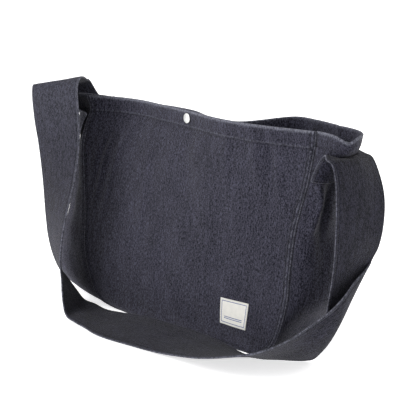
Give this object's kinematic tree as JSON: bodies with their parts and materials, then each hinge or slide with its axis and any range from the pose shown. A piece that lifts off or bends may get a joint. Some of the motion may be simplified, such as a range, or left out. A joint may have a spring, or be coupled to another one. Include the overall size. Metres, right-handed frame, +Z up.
{
  "type": "newspaper delivery bag",
  "caption": "Wide shallow shoulder bag of dark denim with an open hemmed mouth, a press snap at its middle and one broad strap sewn to both end walls.",
  "frame": {"origin": "on the floor under the middle of the bag's body, on the underside of the base", "axes": "+X along the bag to the right end seen from the front, -Y out of the front panel, +Z up"},
  "size_m": [0.599, 0.2437, 0.3565],
  "materials": {
    "denim": "raw unwashed denim, matt twill with slubs",
    "strap_denim": "doubled denim strap, matt twill with stitched edges",
    "snap_metal": "satin nickel plate",
    "label_cloth": "woven cotton label, bare inside a plain border"
  },
  "bodies": {
    "root": {"front_panel": "denim", "back_panel": "denim", "gusset_right": "denim", "gusset_left": "denim", "base_panel": "denim", "strap": "strap_denim", "snap_cap": "snap_metal", "snap_socket": "snap_metal", "snap_stud": "snap_metal", "snap_post": "snap_metal", "label": "label_cloth"}
  },
  "joints": []
}
